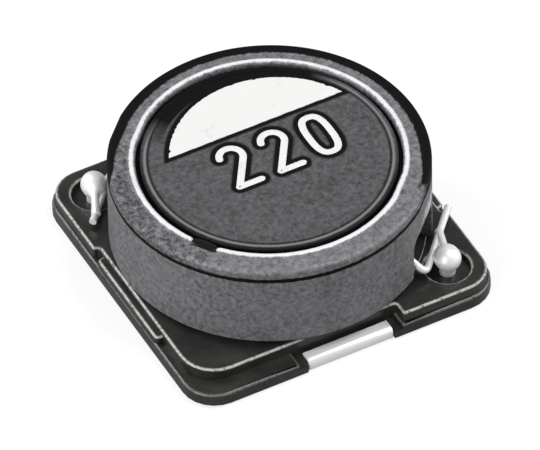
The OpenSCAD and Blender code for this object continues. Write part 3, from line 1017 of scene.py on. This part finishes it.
def wire_skin():
    """Enamelled copper. The attribute "tinned" is 1 on the leads' ends."""
    material, where = new_material("enamelled copper, tinned at the ends")
    tinned, rub = own(material, "tinned"), noise(material, where, 0.08, 2.0)
    copper = blend_colours(material, rub, "#7a3c1c", "#a5572b")
    colour = blend_colours(material, tinned, copper, "#fafaf8")
    return coat(material, colour, 0.36, rub, 0.003,
                Metallic=ramp(material, tinned, 0, 1, 1.0, 0.4))


COIL_TOP = COIL_FOOT + ROWS * PITCH
inner_layers = turn_ring(np.array([
    (POST_R, COIL_FOOT + 0.01), (OUTER_ROW, COIL_FOOT + 0.01),
    (OUTER_ROW, COIL_TOP - 0.01), (POST_R, COIL_TOP - 0.01)]), 96)
winding_shape = merge(tube(coil_path(), WIRE_R, 10), inner_layers,
                      tube(lead_path(*TAILS["a"]), WIRE_R),
                      turned(tube(lead_path(*TAILS["b"]), WIRE_R)))
winding_mesh = make_mesh("winding", winding_shape)
from_axis = cylindrical(winding_shape[0])[0]
write_attribute(winding_mesh, "tinned", np.clip((from_axis - TINNED_FROM) / 0.3, 0, 1))
place("winding_wire", winding_mesh, wire_skin(), "enamelled_copper", "winding")

# %% [markdown]
# ## Solder
# Solder, mostly tin, holds each lead to its hook. It is finished as the plating, a little
# less metallic. Molten solder pulls itself into one smooth skin, so the lump is the smooth
# union of a ball, a stem and a neck to the wire. The skin is found along rays from a point
# in the neck, close under the hook's top: each ray's length is halved in on where the
# union's distance is zero.


# %% Make the solder joints
def smooth_union(first, second, reach):
    """The lesser of two distances, rounded where they are within reach of each other."""
    h = np.clip(0.5 + 0.5 * (second - first) / reach, 0, 1)
    return second + (first - second) * h - reach * h * (1 - h)


def capsule(p, a, b, radius):
    """Distance of points from the line a to b, less a radius."""
    run = b - a
    t = np.clip((p - a) @ run / (run @ run), 0, 1)[..., None]
    return np.linalg.norm(p - a - t * run, axis=-1) - radius


LUMP_R, STEM_R, NECK_R, NECK_AT, COLLAR_R = 0.53, 0.3, 0.16, 0.9, 0.205
HOOK = np.array([HOOK_XY, -HOOK_XY, 0])
LUMP_Z = solder_high[2] - LUMP_R
NECK_Z = HOOK_TOP - 0.25


def solder_distance(p, tail_r):
    """Smooth union of the lump, the stem round the hook and the neck to the lead."""
    lump = capsule(p, HOOK + [0, -0.04, LUMP_Z], HOOK + [0, 0.04, LUMP_Z], LUMP_R - 0.04)
    stem = capsule(p, HOOK + [0, 0, WELL_FLOOR - 0.1], HOOK + [0, 0, LUMP_Z], STEM_R)
    end = tail_point(tail_r, NECK_AT)
    neck = capsule(p, HOOK + [0, 0, NECK_Z], end, NECK_R)
    collar = np.linalg.norm(p - end, axis=-1) - COLLAR_R
    return smooth_union(smooth_union(lump, stem, 0.12), smooth_union(neck, collar, 0.06), 0.16)


def solder_shape(tail_r):
    """A grid of rays over the sphere of directions, each as long as the skin is far."""
    rows, columns = 72, 144
    lat = np.radians(np.linspace(-89.5, 89.5, rows))[:, None]
    lon = np.linspace(0, 2 * np.pi, columns, endpoint=False)[None, :]
    ray = np.stack([np.cos(lat) * np.cos(lon), np.cos(lat) * np.sin(lon),
                    np.sin(lat) + 0 * lon], -1)
    middle = HOOK + [0, 0, NECK_Z - 0.05]
    steps = np.linspace(0, 2.0, 161)
    inside = solder_distance(middle + ray[:, :, None] * steps[:, None], tail_r) < 0
    first = np.argmin(inside, axis=2)          # the first step that lies outside
    near, far = steps[np.maximum(first - 1, 0)], steps[first]
    for _ in range(16):
        half = (near + far) / 2
        within = solder_distance(middle + ray * half[..., None], tail_r) < 0
        near, far = np.where(within, half, near), np.where(within, far, half)
    points = middle + ray * near[..., None]
    points[..., 2] = np.maximum(points[..., 2], WELL_FLOOR)
    return grid(points, loop_columns=True)


solder_skin = tin("reflowed solder", "#fbfbfa", 0.4, 0.004)
joint_a, joint_b = solder_shape(TAILS["a"][0]), turned(solder_shape(TAILS["b"][0]))
for name, node, shape in (("solder_a", "solder_joint_a", joint_a),
                          ("solder_b", "solder_joint_b", joint_b)):
    place(name, make_mesh(name, shape, sharp=60), solder_skin, "solder", node)

# %% [markdown]
# ## Ink on the drum
# White printing ink is a film of pigment and binder, a few hundredths of a millimetre
# thick. The segment is a thin plate whose round edge is a little ragged. Each figure's
# stroke is a low ribbon: its height falls away towards its sides as 1 - v^6, and at its
# ends the width shrinks as a circle does.

# %% Make the mark
INK_FOOT, INK_TOP = CORE_TOP - 0.008, CORE_TOP + 0.02


def segment_loop():
    """The chord, then the disc's edge with small nicks: r = R - |noise|."""
    a = math.degrees(math.asin(MARK_CHORD / MARK_R))
    edge = arc((0, 0), 1, a, 180 - a, 260)
    dice = np.random.default_rng(7)
    rough = np.convolve(dice.normal(size=len(edge)), np.hanning(7) / 3.5, mode="same")
    bite = np.clip(np.abs(rough) - 0.25, 0, None) * 0.05
    round_edge = edge * (MARK_R - bite)[:, None]
    chord = line(round_edge[-1], round_edge[0], 120)[1:-1]
    wave = np.convolve(dice.normal(size=len(chord)), np.hanning(9) / 4.5, mode="same") * 0.015
    chord[:, 1] += wave
    return np.vstack([chord, round_edge]) + [MARK_X, 0]


def ribbon(stroke):
    """Closed section along a stroke: the top is a low dome, the underside is flat."""
    r = STROKE_W / 2
    closed = np.linalg.norm(stroke[0] - stroke[-1]) < 1e-6
    tangent = np.gradient(stroke, axis=0)
    if closed:
        tangent[0] = tangent[-1] = stroke[1] - stroke[-2]
    tangent, width = unit(tangent), np.full(len(stroke), r)
    if closed:
        path, tangent, width = stroke[:-1], tangent[:-1], width[:-1]
    else:
        t = np.radians(np.linspace(86, 0, 7)[:-1])
        head = stroke[0] - tangent[0] * (r * np.sin(t))[:, None]
        tail = (stroke[-1] + tangent[-1] * (r * np.sin(t))[:, None])[::-1]
        path = np.vstack([head, stroke, tail])
        tangent = np.vstack([np.repeat(tangent[:1], len(t), 0), tangent,
                             np.repeat(tangent[-1:], len(t), 0)])
        width = np.concatenate([r * np.cos(t), width, (r * np.cos(t))[::-1]])
    normal = np.stack([-tangent[:, 1], tangent[:, 0]], 1)
    v = np.linspace(-1, 1, 9)
    top = INK_FOOT + (INK_TOP - INK_FOOT) * (1 - np.abs(v) ** 6)
    foot = np.full(len(v) - 2, INK_FOOT - 0.004)
    v, z = np.concatenate([v, v[-2:0:-1]]), np.concatenate([top, foot])
    across = path[:, None] + v[:, None] * width[:, None, None] * normal[:, None]
    z = np.broadcast_to(z[:, None], across.shape[:2] + (1,))
    return grid(np.concatenate([across, z], 2), loop_rows=closed, loop_columns=True)


def white_ink():
    """White printing ink: an even, slightly rough film that thins out in places."""
    material, where = new_material("white printing ink")
    patch, fine = noise(material, where, 0.5, 3.0), noise(material, where, 0.08, 2.0)
    thin = ramp(material, patch, 0.62, 0.78)
    colour = blend_colours(material, thin, "#d4d4d3", "#c4c4c4")
    return coat(material, colour, 0.6, fine, 0.004)


ink = white_ink()
segment = plate([segment_loop()], INK_FOOT, INK_TOP, 0.008, steps=3)
place("segment_mark", make_mesh("segment_mark", segment), ink, "white_ink", "start_mark")
place("figures", make_mesh("figures", merge(*[ribbon(s) for s in strokes]), 60), ink,
      "white_ink")


# %% [markdown]
# Epoxy resin is clear by itself. The filler makes the mouth's epoxy nearly black, and the
# one under the drum pale brown. Both cure to a smooth skin that shines like varnish.


# %% Dark epoxy and the layer under the drum
def epoxy(name, low, high, roughness):
    """Filled epoxy, whose colour drifts a little between two near ones."""
    material, where = new_material(name)
    cloud = noise(material, where, 0.4, 2.0)
    colour = blend_colours(material, cloud, low, high)
    return coat(material, colour, roughness, IOR=1.55, Specular_IOR_Level=0.25)


place("mouth_epoxy", gap_mesh, epoxy("dark cured epoxy", "#060605", "#0c0b0a", 0.3),
      "gap_epoxy", "gap_adhesive")
glue_r = glue_high[0]
glue_shape = revolve(chain(
    line((0.05, glue_high[2]), (glue_r - 0.03, glue_high[2]), 8),
    arc((glue_r - 0.025, (glue_low[2] + glue_high[2]) / 2), 0.025, 90, -90, 7),
    line((glue_r - 0.03, glue_low[2]), (0.05, glue_low[2]), 8)), 96)
place("seat_epoxy", make_mesh("seat_epoxy", glue_shape),
      epoxy("pale cured epoxy", "#7d7258", "#94896b", 0.4), "base_epoxy", "base_adhesive")

# %% [markdown]
# ## Floor, light and camera
# The floor is plain and white. Its colour is pale, and for the camera and for reflections
# it also glows a little, so that it reaches white beside the soft shadow under the part.

# %% Floor and surroundings
FLOOR_HALF = 400.0
corners = [(x, y, 0) for x, y in ((-1, -1), (1, -1), (1, 1), (-1, 1))]
floor_mesh = bpy.data.meshes.new("floor")
floor_mesh.from_pydata((np.array(corners) * FLOOR_HALF * MM).tolist(), [], [(0, 1, 2, 3)])
floor = new_object("floor", floor_mesh)


def floor_finish():
    """A plain floor that shows white to the camera and grey to glossy rays, so that black
    sides stay black. Its diffuse part takes the soft shadow."""
    material, _ = new_material("white studio floor")
    ray = add(material, "LightPath").outputs
    seen = math_node(material, "MULTIPLY", ray["Is Camera Ray"], 0.74)
    shiny = math_node(material, "MULTIPLY", ray["Is Glossy Ray"], 0.15)
    glow = math_node(material, "ADD", seen, shiny)
    pale = add(material, "BsdfDiffuse", {"Color": "#8c8c8c"})
    light = add(material, "Emission", {"Color": (1, 1, 1, 1), "Strength": glow})
    both = add(material, "AddShader", {0: pale.outputs[0], 1: light.outputs[0]})
    return finish_with(material, both)


floor_mesh.materials.append(floor_finish())

world = bpy.data.worlds.new("studio")
bpy.context.scene.world = world
world.use_nodes = True
sky = world.node_tree.nodes["Background"].inputs
sky["Color"].default_value, sky["Strength"].default_value = (1, 1, 1, 1), 0.35


# %% Lamps
TARGET = Vector((0, 0, 2.5))      # the lamps and the camera point here


def soft_light(name, direction, radiance, distance, size):
    """A square lamp in a direction from the part, turned to face it. Its radiance is
    watts / (pi * area), so its watts follow from its size."""
    data = bpy.data.lights.new(name, "AREA")
    data.shape, data.size = "SQUARE", size * MM
    data.energy = radiance * math.pi * (size * MM) ** 2
    away = Vector(direction).normalized() * distance
    lamp = new_object(name, data)
    lamp.location = (TARGET + away) * MM
    lamp.rotation_euler = (-away).to_track_quat("-Z", "Y").to_euler()


soft_light("front_edge_light", (0.324, -0.15, 0.93), 20.0, 120, 30)
soft_light("left_edge_light", (-0.45, 0.625, 0.64), 20.0, 120, 30)
soft_light("key_light", (-0.85, -0.31, 0.42), 3.2, 120, 105)
soft_light("right_light", (0.85, -0.35, 0.4), 6.0, 120, 60)

# %% Camera
VIEW_AZIMUTH, VIEW_ELEVATION, VIEW_ROLL = -27.408, 45.27, -1.034
DISTANCE, LENS = 500.0, 917.0
DROP = 0.867                      # the view's middle lies this far below the target


def aim_camera():
    """The camera looks down at first. It is tipped up, turned round Z and rolled, and then
    stands off backwards along its own axis."""
    data = bpy.data.cameras.new("camera")
    data.lens, data.sensor_width = LENS, 36
    data.clip_start, data.clip_end = 0.01, 5
    tip, turn, roll = (Matrix.Rotation(math.radians(angle), 4, axis) for angle, axis in (
        (90 - VIEW_ELEVATION, "X"), (VIEW_AZIMUTH, "Z"), (VIEW_ROLL, "Z")))
    stand_off = Matrix.Translation(Vector((0, -DROP, DISTANCE)) * MM)
    camera = new_object("camera", data)
    camera.matrix_world = Matrix.Translation(TARGET * MM) @ turn @ tip @ roll @ stand_off
    bpy.context.scene.camera = camera


aim_camera()
bpy.context.scene.view_settings.view_transform = "Standard"
